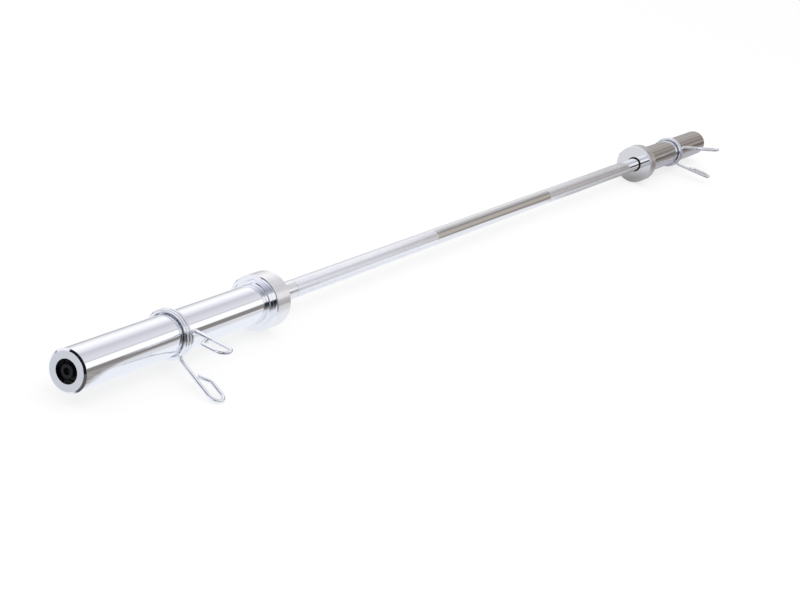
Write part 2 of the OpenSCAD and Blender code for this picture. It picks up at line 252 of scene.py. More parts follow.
class StageSizes(bpy.types.PropertyGroup):
    """The floor, the camera and the lamp."""

    floor_colour: colour("Floor colour", "Colour of the studio floor", "#FAFAFA")
    floor_size: length("Floor size", "Length and width of the floor", 40000)
    floor_drop: length("Floor drop", "Depth of the floor under the lowest piece", 0.01)
    camera_at: FloatVectorProperty(
        name="Camera position",
        description="Where the camera stands",
        default=(-2.42634, -0.85060, 0.77714),
        size=3,
        unit="LENGTH",
        subtype="TRANSLATION",
    )
    camera_turn: FloatVectorProperty(
        name="Camera turn",
        description="How the camera is turned",
        default=tuple(math.radians(a) for a in (68.3240, -17.5823, -61.6620)),
        size=3,
        unit="ROTATION",
        subtype="EULER",
    )
    camera_lens: FloatProperty(
        name="Camera lens", description="Focal length of the camera", default=74.18, min=1, unit="CAMERA"
    )
    lamp_at: FloatVectorProperty(
        name="Lamp position",
        description="Where the soft lamp hangs",
        default=(-0.3, -0.6, 2.2),
        size=3,
        unit="LENGTH",
        subtype="TRANSLATION",
    )
    lamp_tilt: FloatProperty(
        name="Lamp tilt",
        description="Tilt of the lamp towards the bar",
        default=-0.26,
        unit="ROTATION",
        subtype="ANGLE",
    )
    lamp_length: length("Lamp length", "Length of the lamp along the bar", 3000)
    lamp_width: length("Lamp width", "Width of the lamp across the bar", 1500)
    lamp_power: FloatProperty(
        name="Lamp power", description="Power of the lamp", default=14, min=0, unit="POWER"
    )


def deselect():
    """Leaves object mode with nothing selected."""
    if bpy.context.object and bpy.context.object.mode != "OBJECT":
        bpy.ops.object.mode_set(mode="OBJECT")
    bpy.ops.object.select_all(action="DESELECT")


def pick(piece):
    """Makes one piece the only selected one."""
    deselect()
    piece.select_set(True)
    bpy.context.view_layer.objects.active = piece


def select_where(piece, kind, test):
    """In edit mode, selects only the vertices, edges or faces that a test picks."""
    bpy.ops.mesh.select_mode(type={"verts": "VERT", "edges": "EDGE", "faces": "FACE"}[kind])
    bpy.ops.mesh.select_all(action="DESELECT")
    mesh = bmesh.from_edit_mesh(piece.data)
    for part in getattr(mesh, kind):
        if test(part):
            part.select_set(True)
    mesh.select_flush_mode()
    bmesh.update_edit_mesh(piece.data)


def tidy_shell(piece):
    """Merges doubles, closes holes and points the faces outward."""
    bpy.ops.mesh.select_all(action="SELECT")
    bpy.ops.mesh.remove_doubles(threshold=MERGED)
    bpy.ops.mesh.select_all(action="SELECT")
    bpy.ops.mesh.fill_holes(sides=0)
    bpy.ops.mesh.select_all(action="SELECT")
    bpy.ops.mesh.normals_make_consistent(inside=False)


def drawn_along(name, corners, sides):
    """A ring of edges on the bar's axis, drawn out through (radius, x) corners as a turned piece is cut."""
    deselect()
    radius, x = corners[0]
    bpy.ops.mesh.primitive_circle_add(
        vertices=sides, radius=radius, fill_type="NOTHING", location=(x, 0, 0), rotation=(0, math.pi / 2, 0)
    )
    piece = bpy.context.object
    piece.name = piece.data.name = name
    bpy.ops.object.transform_apply(location=True, rotation=True, scale=True)
    bpy.ops.object.mode_set(mode="EDIT")
    bpy.ops.mesh.select_mode(type="EDGE")
    bpy.ops.mesh.select_all(action="SELECT")
    for next_radius, next_x in corners[1:]:
        bpy.ops.mesh.extrude_region_move(TRANSFORM_OT_translate={"value": (next_x - x, 0, 0)})
        if next_radius != radius:
            grow = next_radius / radius
            bpy.ops.transform.resize(value=(1, grow, grow), center_override=(next_x, 0, 0))
        radius, x = next_radius, next_x
    tidy_shell(piece)
    bpy.ops.object.mode_set(mode="OBJECT")
    return piece


def round_edges(piece, width, sharper_than=25, segments=3):
    """Rounds the sharp edges with a bevel, as polishing does, and shades the rest smooth."""
    pick(piece)
    bpy.ops.object.shade_smooth_by_angle(angle=SMOOTH_BELOW)
    bevel = piece.modifiers.new("Polished edges", "BEVEL")
    bevel.width = width
    bevel.segments = segments
    bevel.limit_method = "ANGLE"
    bevel.angle_limit = math.radians(sharper_than)
    bevel.harden_normals = True
    bpy.ops.object.modifier_apply(modifier=bevel.name)


def from_axis(place):
    """The distance of a place from the bar's axis."""
    return math.hypot(place.y, place.z)


def end_x(side, distance):
    """The place along the bar at a distance in from one end."""
    return side * (CAD_BOX[1][0] - distance)


def turned(side, label, corners, sides, rounding, segments=3):
    """A turned and polished piece of one end, from (radius, distance in from the end of the bar) corners."""
    places = [(radius, end_x(side, distance)) for radius, distance in corners]
    piece = drawn_along(SIDE_NAMES[side] + label, places, sides)
    round_edges(piece, rounding, segments=segments)
    return piece


def dress(piece, material, nodes, body=None):
    """Gives a finished piece its material, the nodes that it stands for and the body that it rides on."""
    piece.data.materials.clear()
    piece.data.materials.append(material)
    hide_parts(*nodes)
    if body:
        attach(piece, body)


def add_node(tree, kind, settings=None, links=None):
    """Adds one node. Settings are its own values or its sockets' values. Links lead to its inputs, each from
    another node's first output or from the output that is given."""
    node = tree.nodes.new("ShaderNode" + kind)
    for key, value in (settings or {}).items():
        if isinstance(key, str) and hasattr(node, key):
            setattr(node, key, value)
        else:
            node.inputs[key].default_value = value
    for key, source in (links or {}).items():
        output = source.outputs[0] if isinstance(source, bpy.types.Node) else source
        tree.links.new(output, node.inputs[key])
    return node


def shader(name):
    """A new material with an empty tree, and the socket that tells where on its piece a point lies."""
    material = bpy.data.materials.new(name)
    material.use_nodes = True
    tree = material.node_tree
    tree.nodes.clear()
    return material, tree, add_node(tree, "TexCoord").outputs["Object"]


def surfaced(material, settings, links):
    """Ends a material's tree in one surface."""
    tree = material.node_tree
    surface = add_node(tree, "BsdfPrincipled", settings, links)
    add_node(tree, "OutputMaterial", links={"Surface": surface})
    return material


def set_stops(ramp, stops):
    """Puts colour stops on a ramp, from (position, colour) pairs."""
    elements = ramp.color_ramp.elements
    while len(elements) > 1:
        elements.remove(elements[-1])
    elements[0].position = stops[0][0]
    elements[0].color = (*stops[0][1], 1)
    for position, shade in stops[1:]:
        elements.new(position).color = (*shade, 1)


def worked_metal(name, base, smooth, rough, line_mm, line_depth_mm, ripple_depth_mm):
    """Steel that was turned, drawn or ground, plated or bare. Fine lines from the tool run round the piece,
    and a slow ripple under them makes long reflections waver a little, as they do on real bars."""
    material, tree, place = shader(name)
    # A line is line_mm wide along the bar, and changes slowly round it, over a quarter of a metre.
    lines_at = add_node(tree, "Mapping", {"Scale": (1 / (line_mm * MM), 4, 4)}, {"Vector": place})
    lines = add_node(tree, "TexNoise", {"Scale": 1.0, "Detail": 3.0, "Roughness": 0.6}, {"Vector": lines_at})
    ripple = add_node(
        tree, "TexNoise", {"Scale": 1 / (38 * MM), "Detail": 2.0, "Roughness": 0.45}, {"Vector": place}
    )
    haze = add_node(
        tree, "TexNoise", {"Scale": 1 / (9 * MM), "Detail": 5.0, "Roughness": 0.65}, {"Vector": place}
    )
    roughness = add_node(
        tree,
        "MapRange",
        {"From Min": 0.3, "From Max": 0.7, "To Min": smooth, "To Max": rough},
        {"Value": haze},
    )
    ripple_bump = add_node(
        tree, "Bump", {"Strength": 1.0, "Distance": ripple_depth_mm * MM}, {"Height": ripple}
    )
    line_bump = add_node(
        tree,
        "Bump",
        {"Strength": 1.0, "Distance": line_depth_mm * MM},
        {"Height": lines, "Normal": ripple_bump},
    )
    return surfaced(
        material, {"Base Color": (*base, 1), "Metallic": 1.0}, {"Roughness": roughness, "Normal": line_bump}
    )


def bright_chrome_plate():
    """Polished decorative chrome: a sharp cool mirror with hardly any haze."""
    return worked_metal(
        "polished_chrome_plate",
        bpy.context.scene.barbell_finishes.bright_chrome,
        smooth=0.035,
        rough=0.075,
        line_mm=0.5,
        line_depth_mm=0.0004,
        ripple_depth_mm=0.01,
    )


def satin_chrome_plate():
    """Ground hard chrome on the shaft: the same mirror, softened round the bar by the grinding lines."""
    return worked_metal(
        "ground_hard_chrome",
        bpy.context.scene.barbell_finishes.satin_chrome,
        smooth=0.05,
        rough=0.1,
        line_mm=0.35,
        line_depth_mm=0.0005,
        ripple_depth_mm=0.006,
    )


def turned_chrome_plate():
    """Chrome over a plain turned rim: a little duller, because the tool marks blur what it reflects."""
    return worked_metal(
        "turned_chrome_plate",
        bpy.context.scene.barbell_finishes.turned_rim,
        smooth=0.2,
        rough=0.27,
        line_mm=0.9,
        line_depth_mm=0.002,
        ripple_depth_mm=0.01,
    )


def plated_wire():
    """Drawn spring wire with a bright plating: soft highlights with faint drawing marks."""
    return worked_metal(
        "bright_plated_spring_wire",
        bpy.context.scene.barbell_finishes.wire_plate,
        smooth=0.08,
        rough=0.16,
        line_mm=1.5,
        line_depth_mm=0.0006,
        ripple_depth_mm=0.004,
    )


def ground_steel():
    """Surface-ground steel: pale grey with fine grinding marks across it."""
    return worked_metal(
        "ground_steel",
        bpy.context.scene.barbell_finishes.ground_steel,
        smooth=0.25,
        rough=0.38,
        line_mm=0.2,
        line_depth_mm=0.002,
        ripple_depth_mm=0.002,
    )


def knurled_chrome():
    """Rolled knurl under hard chrome: each diamond glints, and the grooves between them are rougher, with
    painted shade that makes them a darker grey.
    """
    finishes = bpy.context.scene.barbell_finishes
    sizes = bpy.context.scene.barbell_sizes
    knurl = bpy.context.scene.barbell_knurl
    material, tree, place = shader("knurled_hard_chrome")
    apart = add_node(tree, "SeparateXYZ", links={"Vector": place})
    flat = add_node(tree, "CombineXYZ", {"X": 0.0}, {"Y": apart.outputs["Y"], "Z": apart.outputs["Z"]})
    radius = add_node(tree, "VectorMath", {"operation": "LENGTH"}, {0: flat})
    height = add_node(
        tree,
        "MapRange",
        {"From Min": sizes.grip_radius - knurl.depth, "From Max": sizes.grip_radius},
        {"Value": radius.outputs["Value"]},
    )
    # Painted shade: the colour darkens towards the bottom of the grooves.
    tone = add_node(tree, "ValToRGB", links={"Fac": height})
    set_stops(tone, [(0.0, finishes.painted_groove_shade), (0.3, finishes.wire_plate), (1.0, finishes.wire_plate)])
    wear = add_node(
        tree, "MapRange", {"From Min": 0.5, "From Max": 1.0, "To Min": 0.26, "To Max": 0.1}, {"Value": height}
    )
    return surfaced(material, {"Metallic": 1.0}, {"Base Color": tone, "Roughness": wear})


def black_oxide_steel():
    """Blackened alloy steel: near-black with a faint oily sheen and a fine grain from the pickling bath."""
    base = bpy.context.scene.barbell_finishes.black_oxide
    material, tree, place = shader("black_oxide_steel")
    grain = add_node(
        tree, "TexNoise", {"Scale": 1 / (0.6 * MM), "Detail": 4.0, "Roughness": 0.6}, {"Vector": place}
    )
    tone = add_node(tree, "ValToRGB", links={"Fac": grain})
    set_stops(tone, [(0.3, tuple(c * 0.7 for c in base)), (0.7, tuple(c * 1.4 for c in base))])
    roughness = add_node(
        tree, "MapRange", {"From Min": 0.3, "From Max": 0.7, "To Min": 0.32, "To Max": 0.48}, {"Value": grain}
    )
    bump = add_node(tree, "Bump", {"Strength": 1.0, "Distance": 0.002 * MM}, {"Height": grain})
    return surfaced(
        material,
        {"Metallic": 0.6},
        {
            "Base Color": tone,
            "Roughness": roughness,
            "Normal": bump,
        },
    )


def nitrile_rubber():
    """Moulded nitrile rubber: matt black, with a soft bloom that greys it in patches."""
    base = bpy.context.scene.barbell_finishes.rubber
    material, tree, place = shader("moulded_nitrile_rubber")
    bloom = add_node(
        tree, "TexNoise", {"Scale": 1 / (3 * MM), "Detail": 4.0, "Roughness": 0.6}, {"Vector": place}
    )
    tone = add_node(tree, "ValToRGB", links={"Fac": bloom})
    set_stops(tone, [(0.35, base), (0.75, tuple(c * 2.2 for c in base))])
    grain = add_node(tree, "Bump", {"Strength": 0.6, "Distance": 0.02 * MM}, {"Height": bloom})
    return surfaced(material, {"Roughness": 0.62, "IOR": 1.52}, {"Base Color": tone, "Normal": grain})


def sintered_bronze():
    """Oil-filled sintered bronze: warm metal, mottled by its pores."""
    base = bpy.context.scene.barbell_finishes.bronze
    material, tree, place = shader("sintered_bronze")
    pores = add_node(tree, "TexVoronoi", {"Scale": 1 / (0.4 * MM)}, {"Vector": place})
    tone = add_node(tree, "ValToRGB", links={"Fac": pores})
    set_stops(tone, [(0.0, tuple(c * 0.45 for c in base)), (0.25, base), (1.0, base)])
    return surfaced(material, {"Metallic": 1.0, "Roughness": 0.38}, {"Base Color": tone})


class BARBELL_OT_shaft(bpy.types.Operator):
    """Turn the shaft and roll its two knurled grips"""

    bl_idname = "barbell.shaft"
    bl_label = "Shaft"
    bl_options = {"REGISTER", "UNDO"}

    def execute(self, context):
        sizes = context.scene.barbell_sizes
        knurl = context.scene.barbell_knurl
        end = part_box("shaft")[1][0]
        shoulder = sizes.grip_length / 2
        journal_from = end - sizes.outer_journal_length
        step = sizes.inner_journal_radius - sizes.outer_journal_radius
        root = sizes.grip_radius - knurl.depth
        half = [
            (sizes.tapped_hole_radius, end - sizes.tapped_hole_depth),
            (sizes.tapped_hole_radius, end),
            (sizes.outer_journal_radius, end),
            (sizes.outer_journal_radius, journal_from),
            (sizes.inner_journal_radius, journal_from - step),
            (sizes.inner_journal_radius, shoulder),
            (sizes.grip_radius, shoulder),
            (sizes.grip_radius, knurl.outer_end),
            (root, knurl.outer_end - knurl.run_out),
            (root, knurl.inner_end + knurl.run_out),
            (sizes.grip_radius, knurl.inner_end),
        ]
        corners = [(radius, -x) for radius, x in half] + half[::-1]
        piece = drawn_along("shaft_body", corners, 2 * knurl.diamonds)
        bpy.ops.object.mode_set(mode="EDIT")
        # In two steps, because one call of subdivide makes no more than a hundred cuts.
        rows = 2 * round((knurl.outer_end - knurl.inner_end) / knurl.diamond_length)
        first_cuts = 9
        for cuts in (first_cuts, round(rows / (first_cuts + 1)) - 1):
            select_where(piece, "edges", self.runs_along_band(root))
            bpy.ops.mesh.subdivide(number_cuts=cuts)
        self.raise_diamonds(piece, sizes, knurl, root)
        self.flatten_diamonds(piece, sizes, knurl, root)
        bpy.ops.object.mode_set(mode="OBJECT")
        bpy.ops.object.shade_smooth_by_angle(angle=SHAFT_SMOOTH_BELOW)
        dress(piece, satin_chrome_plate(), ["shaft"], "bar")
        piece.data.materials.append(knurled_chrome())
        band = self.in_band(sizes, knurl)
        for face in piece.data.polygons:
            if band(face.center):
                face.material_index = 1
        return {"FINISHED"}

    def runs_along_band(self, root):
        """Picks the edges that run along a knurled band, at the depth of its grooves."""

        def test(edge):
            long_way = abs(edge.verts[0].co.x - edge.verts[1].co.x) > 0.1 * MM
            return long_way and all(abs(from_axis(v.co) - root) < NEAR for v in edge.verts)

        return test

    def in_band(self, sizes, knurl):
        """Picks places on the surface of a knurled band."""

        def test(place):
            along = knurl.inner_end < abs(place.x) < knurl.outer_end
            return along and from_axis(place) > sizes.inner_journal_radius

        return test

    def raise_diamonds(self, piece, sizes, knurl, root):
        """Lifts every second point of every row, in step with its neighbours, to the grip's own radius."""
        same_row = 0.02 * MM
        plain_end = 0.5 * MM
        mesh = bmesh.from_edit_mesh(piece.data)
        points = [v for v in mesh.verts if abs(from_axis(v.co) - root) < NEAR]
        places = sorted({round(v.co.x, 6) for v in points})
        row_of = {}
        row = 0
        for before, here in zip([places[0]] + places, places):
            if here - before > same_row:
                row += 1
            row_of[here] = row
        middle = max(range(1, len(places)), key=lambda i: places[i] - places[i - 1])
        ends = (places[0], places[middle - 1], places[middle], places[-1])
        around = 2 * knurl.diamonds
        raised = set()
        for v in points:
            column = round(math.atan2(v.co.z, v.co.y) / (2 * math.pi) * around)
            here = round(v.co.x, 6)
            if (row_of[here] + column) % 2 and min(abs(here - e) for e in ends) > plain_end:
                raised.add(v.index)
        select_where(piece, "verts", lambda v: v.index in raised)
        lift = 1 + (sizes.grip_radius - root) / (1 - knurl.flat) / root
        bpy.ops.transform.resize(value=(1, lift, lift), center_override=(0, 0, 0))

    def flatten_diamonds(self, piece, sizes, knurl, root):
        """Splits each quad of a band along the groove, then cuts the points of the diamonds off flat."""
        select_where(piece, "faces", lambda f: any(abs(from_axis(v.co) - root) < NEAR for v in f.verts))
        bpy.ops.mesh.quads_convert_to_tris(quad_method="SHORTEST_DIAGONAL")
        select_where(piece, "verts", lambda v: from_axis(v.co) > sizes.grip_radius + NEAR)
        bpy.ops.mesh.bevel(offset_type="PERCENT", offset_pct=100 * knurl.flat, affect="VERTICES")


class BARBELL_OT_sleeves(bpy.types.Operator):
    """Turn the two plate sleeves"""

    bl_idname = "barbell.sleeves"
    bl_label = "Plate sleeves"
    bl_options = {"REGISTER", "UNDO"}

    def execute(self, context):
        sizes = context.scene.barbell_sizes
        inner_end = sizes.collar_at + sizes.seat_length
        corners = [
            (sizes.recess_radius, 0),
            (sizes.sleeve_radius - sizes.end_chamfer, 0),
            (sizes.sleeve_radius, sizes.end_chamfer),
            (sizes.sleeve_radius, sizes.collar_at),
            (sizes.seat_radius, sizes.collar_at),
            (sizes.seat_radius, inner_end),
            (sizes.counterbore_radius, inner_end),
            (sizes.counterbore_radius, inner_end - sizes.counterbore_depth),
            (sizes.bore_radius, inner_end - sizes.counterbore_depth),
            (sizes.bore_radius, sizes.recess_depth),
            (sizes.recess_radius, sizes.recess_depth),
            (sizes.recess_radius, 0),
        ]
        chrome = bright_chrome_plate()
        for side, name in SIDE_NAMES.items():
            piece = turned(side, "_plate_sleeve", corners, sizes.sides, sizes.edge_round)
            dress(piece, chrome, [name + "_sleeve"], name + "_end")
        return {"FINISHED"}


class BARBELL_OT_collars(bpy.types.Operator):
    """Turn the two stepped collars"""

    bl_idname = "barbell.collars"
    bl_label = "Collars"
    bl_options = {"REGISTER", "UNDO"}

    def execute(self, context):
        sizes = context.scene.barbell_sizes
        fastening = context.scene.barbell_fastening
        start = sizes.collar_at
        flange_from = start + sizes.hub_width
        stop = flange_from + sizes.flange_width
        seat_to = start + sizes.seat_length
        corners = [
            (sizes.seat_radius, start + sizes.mouth_radius - sizes.seat_radius),
            (sizes.mouth_radius, start),
            (sizes.hub_radius - sizes.collar_chamfer, start),
            (sizes.hub_radius, start + sizes.collar_chamfer),
            (sizes.hub_radius, flange_from),
            (sizes.flange_radius - sizes.collar_chamfer, flange_from),
            (sizes.flange_radius, flange_from + sizes.collar_chamfer),
            (sizes.flange_radius, stop - sizes.collar_chamfer),
            (sizes.flange_radius - sizes.collar_chamfer, stop),
            (fastening.seal_radius, stop),
            (fastening.seal_radius, seat_to),
            (sizes.seat_radius, seat_to),
            (sizes.seat_radius, start + sizes.mouth_radius - sizes.seat_radius),
        ]
        chrome = bpy.data.materials["polished_chrome_plate"]
        rim = turned_chrome_plate()
        rim_from = sizes.flange_radius - 0.1 * MM
        for side, name in SIDE_NAMES.items():
            piece = turned(side, "_stepped_collar", corners, sizes.sides, sizes.edge_round)
            dress(piece, chrome, [name + "_collar"], name + "_end")
            piece.data.materials.append(rim)
            for face in piece.data.polygons:
                if abs(face.normal.x) < 0.1 and from_axis(face.center) > rim_from:
                    face.material_index = 1
        return {"FINISHED"}


class BARBELL_OT_seals(bpy.types.Operator):
    """Mould the two dust seals"""

    bl_idname = "barbell.seals"
    bl_label = "Dust seals"
    bl_options = {"REGISTER", "UNDO"}

    def execute(self, context):
        sizes = context.scene.barbell_sizes
        fastening = context.scene.barbell_fastening
        front = fastening.seal_at + fastening.seal_width
        web = (fastening.seal_radius + fastening.seal_lip_radius) / 2
        groove = fastening.seal_width / 3
        corners = [
            (fastening.seal_lip_radius, fastening.seal_at),
            (fastening.seal_radius, fastening.seal_at),
            (fastening.seal_radius, front),
            (web + groove / 3, front),
            (web, front - groove),
            (web - groove / 3, front),
            (fastening.seal_lip_radius, front),
            (fastening.seal_lip_radius, fastening.seal_at),
        ]
        rubber = nitrile_rubber()
        for side, name in SIDE_NAMES.items():
            piece = turned(side, "_lip_seal", corners, sizes.sides // 2, sizes.edge_round / 2)
            dress(piece, rubber, [name + "_dust_seal"], name + "_end")
        return {"FINISHED"}


class BARBELL_OT_end_bolts(bpy.types.Operator):
    """Make the end bolts with their sockets, and the retaining washers"""

    bl_idname = "barbell.end_bolts"
    bl_label = "End bolts and washers"
    bl_options = {"REGISTER", "UNDO"}

    def execute(self, context):
        sizes = context.scene.barbell_sizes
        fastening = context.scene.barbell_fastening
        black = black_oxide_steel()
        under = fastening.head_setback + fastening.head_height
        bolt = [
            (fastening.head_radius, fastening.head_setback),
            (fastening.head_radius, under),
            (fastening.shank_radius, under),
            (fastening.shank_radius, under + fastening.shank_length),
        ]
        washer = [
            (fastening.washer_hole_radius, fastening.washer_at),
            (fastening.washer_radius, fastening.washer_at),
            (fastening.washer_radius, fastening.washer_at + fastening.washer_thickness),
            (fastening.washer_hole_radius, fastening.washer_at + fastening.washer_thickness),
            (fastening.washer_hole_radius, fastening.washer_at),
        ]
        for side, name in SIDE_NAMES.items():
            piece = turned(side, "_socket_bolt", bolt, sizes.sides // 2, fastening.head_round, segments=4)
            self.cut_socket(piece, side, fastening)
            dress(piece, black, [name + "_end_bolt"], "bar")
            piece = turned(side, "_retaining_plate", washer, sizes.sides // 2, sizes.edge_round)
            dress(piece, black, [name + "_retaining_washer"], "bar")
        return {"FINISHED"}

    def cut_socket(self, piece, side, fastening):
        """Cuts the socket with a hexagonal punch that stands out of the head, and rounds its edges."""
        deselect()
        depth = fastening.socket_depth + 2 * MM
        bpy.ops.mesh.primitive_cylinder_add(
            vertices=6,
            radius=fastening.socket_flats / 2 / math.cos(math.pi / 6),
            depth=depth,
            location=(end_x(side, fastening.head_setback + fastening.socket_depth - depth / 2), 0, 0),
            rotation=(0, math.pi / 2, 0),
        )
        punch = bpy.context.object
        pick(piece)
        cut = piece.modifiers.new("Socket", "BOOLEAN")
        cut.object = punch
        cut.operation = "DIFFERENCE"
        cut.solver = "EXACT"
        bpy.ops.object.modifier_apply(modifier=cut.name)
        bpy.data.objects.remove(punch, do_unlink=True)
        round_edges(piece, fastening.socket_round, sharper_than=50, segments=2)


class WirePath:
    """The middle line of a clip's wire: its coil, and the corners of each handle."""

    def __init__(self, clip, sizes):
        self.clip = clip
        self.coil_radius = sizes.sleeve_radius + clip.sleeve_gap + clip.wire_radius
        self.pitch = 2 * clip.wire_radius + clip.turn_gap
        self.wrap = 2 * math.pi * clip.turns + clip.handle_spread
        self.width = self.pitch * self.wrap / (2 * math.pi)
        # The coil runs on straight by this much at each end, to where its handle starts.
        self.lead = 2 * clip.wire_radius

    def radial(self, around):
        """Straight out from the axis: 0 is level in front of the bar and a quarter turn is up."""
        return Vector((0, -math.cos(around), math.sin(around)))

    def coil_point(self, around):
        """The coil's point at an angle."""
        x = self.pitch * (around + self.clip.handle_spread / 2) / (2 * math.pi) - self.width / 2
        return Vector((x, 0, 0)) + self.coil_radius * self.radial(around)

    def along(self, around):
        """The way that the wire runs at that point."""
        rise = self.pitch / (2 * math.pi)
        radius = self.coil_radius
        return Vector((rise, radius * math.sin(around), radius * math.cos(around))).normalized()

    def bend(self, before, at, after, radius, step=math.radians(6)):
        """Points round one corner, turned to a radius."""
        leave = (at - before).normalized()
        enter = (after - at).normalized()
        turn = leave.angle(enter)
        inward = (leave * -leave.dot(enter) + enter).normalized()
        start = at - leave * radius * math.tan(turn / 2)
        steps = math.ceil(turn / step)
        return [
            start + radius * (math.sin(turn * i / steps) * leave + (1 - math.cos(turn * i / steps)) * inward)
            for i in range(steps + 1)
        ]

    def handle(self, around, out, side):
        """A handle from the coil outward: it turns away from the coil and ends in an open loop. Out is 1 at
        the coil's end and -1 at its start, and side is the way along the bar that the loop turns."""
        clip = self.clip
        start = self.coil_point(around)
        tangent = out * self.along(around)
        x = Vector((1, 0, 0))
        straight_out = self.radial(around)
        lean = clip.handle_lean
        leg = math.cos(lean) * straight_out - math.sin(lean) * x
        across = side * (math.cos(lean) * x + math.sin(lean) * straight_out)
        root = start + tangent * (self.lead + clip.root_straight + clip.root_bend_radius)
        tip = root + leg * clip.leg_length
        far = tip + across * clip.loop_width
        back = far - leg * clip.return_length
        end = root + leg * clip.free_end_at + across * (2 * clip.wire_radius + clip.free_end_gap)
        tip_radius = (clip.loop_width - clip.tip_straight) / 2
        return [
            start + tangent * self.lead,
            *self.bend(start, root, tip, clip.root_bend_radius),
            *self.bend(root, tip, far, tip_radius),
            *self.bend(tip, far, back, tip_radius),
            *self.bend(far, back, end, clip.end_bend_radius),
            end,
        ]

    def stretches(self):
        """The first handle, the coil with its two straight ends, and the last handle."""
        first_angle = -self.clip.handle_spread / 2
        last_angle = self.wrap - self.clip.handle_spread / 2
        steps = math.ceil(math.degrees(self.wrap) / 3)
        turns = [self.coil_point(first_angle + self.wrap * i / steps) for i in range(steps + 1)]
        first = self.handle(first_angle, -1, 1)
        last = self.handle(last_angle, 1, -1)
        return first, [first[0], *turns, last[0]], last

    def resting_tilt(self, side, lower_handle, ground_depth):
        """How far the clip turns down before its lower handle meets the floor."""
        tilts = []
        for p in lower_handle:
            reach = from_axis(p)
            if reach > ground_depth:
                tilts.append(math.asin(ground_depth / reach) - math.atan2(side * p.z, -p.y))
        return min(tilts)


class BARBELL_OT_clips(bpy.types.Operator):
    """Bend the two spring clips from wire"""

    bl_idname = "barbell.clips"
    bl_label = "Spring clips"
    bl_options = {"REGISTER", "UNDO"}

    def execute(self, context):
        clip = context.scene.barbell_clips
        sizes = context.scene.barbell_sizes
        wire = plated_wire()
        path = WirePath(clip, sizes)
        first, coil, last = path.stretches()
        ground_depth = sizes.flange_radius - clip.floor_gap - clip.wire_radius
        for side, name in SIDE_NAMES.items():
            lower, upper = (first, last) if side == LEFT else (last, first)
            turn = clip.left_turn if side == LEFT else clip.right_turn
            tilt = path.resting_tilt(side, lower, ground_depth) - turn
            middle = end_x(side, clip.left_at if side == LEFT else clip.right_at)
            place = Matrix.Translation((middle, 0, 0)) @ Matrix.Rotation(tilt, 4, "X")
            if side == RIGHT:
                place = place @ Matrix.Rotation(math.pi, 4, "Y")
            body, lever = name + "_clip", name + "_clip_lever"
            piece = self.bend_wire(name + "_coil_wire", [place @ p for p in coil], clip)
            dress(piece, wire, [name + "_clip_coil"])
            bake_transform(piece)
            piece = self.bend_wire(name + "_lower_handle_wire", [place @ p for p in lower], clip, True)
            dress(piece, wire, [name + "_clip_lower_handle"], body)
            piece = self.bend_wire(name + "_upper_handle_wire", [place @ p for p in upper], clip, True)
            dress(piece, wire, [name + "_clip_upper_handle"], lever)
        return {"FINISHED"}

    def bend_wire(self, name, points, clip, has_free_end=False):
        """A length of wire along a path, with its cut end rounded off."""
        deselect()
        bpy.ops.curve.primitive_nurbs_path_add()
        piece = bpy.context.object
        piece.name = name
        curve = piece.data
        curve.dimensions = "3D"
        curve.twist_mode = "MINIMUM"
        curve.splines.clear()
        spline = curve.splines.new("POLY")
        spline.points.add(len(points) - 1)
        for point, place in zip(spline.points, points):
            point.co = (*place, 1)
        curve.bevel_depth = clip.wire_radius
        curve.bevel_resolution = 4
        curve.use_fill_caps = True
        bpy.ops.object.convert(target="MESH")
        piece = bpy.context.object
        piece.data.name = name
        bpy.ops.object.mode_set(mode="EDIT")
        tidy_shell(piece)
        if has_free_end:
            end = points[-1]
            around_end = clip.wire_radius * 1.02
            select_where(piece, "edges", lambda e: all((v.co - end).length < around_end for v in e.verts))
            bpy.ops.mesh.bevel(offset=clip.end_round, segments=3, affect="EDGES")
        bpy.ops.object.mode_set(mode="OBJECT")
        bpy.ops.object.transform_apply(location=True, rotation=True, scale=True)
        bpy.ops.object.shade_smooth_by_angle(angle=SMOOTH_BELOW)
        return piece


class BARBELL_OT_bearings(bpy.types.Operator):
    """Finish the bushings and washers inside the sleeves"""

    bl_idname = "barbell.bearings"
    bl_label = "Bearings"
    bl_options = {"REGISTER", "UNDO"}

    def execute(self, context):
        bronze = sintered_bronze()
        steel = ground_steel()
        black = bpy.data.materials["black_oxide_steel"]
        for name in SIDE_NAMES.values():
            for node, material in (
                ("_inner_bushing", bronze),
                ("_outer_bushing", bronze),
                ("_thrust_washer", steel),
                ("_lock_washer", black),
            ):
                for slot in frame["nodes"][name + node].material_slots:
                    slot.material = material
        return {"FINISHED"}


# Brightness of what polished metal reflects, which makes good the little that the metal takes away.
MIRRORED_LIGHT = 1.15

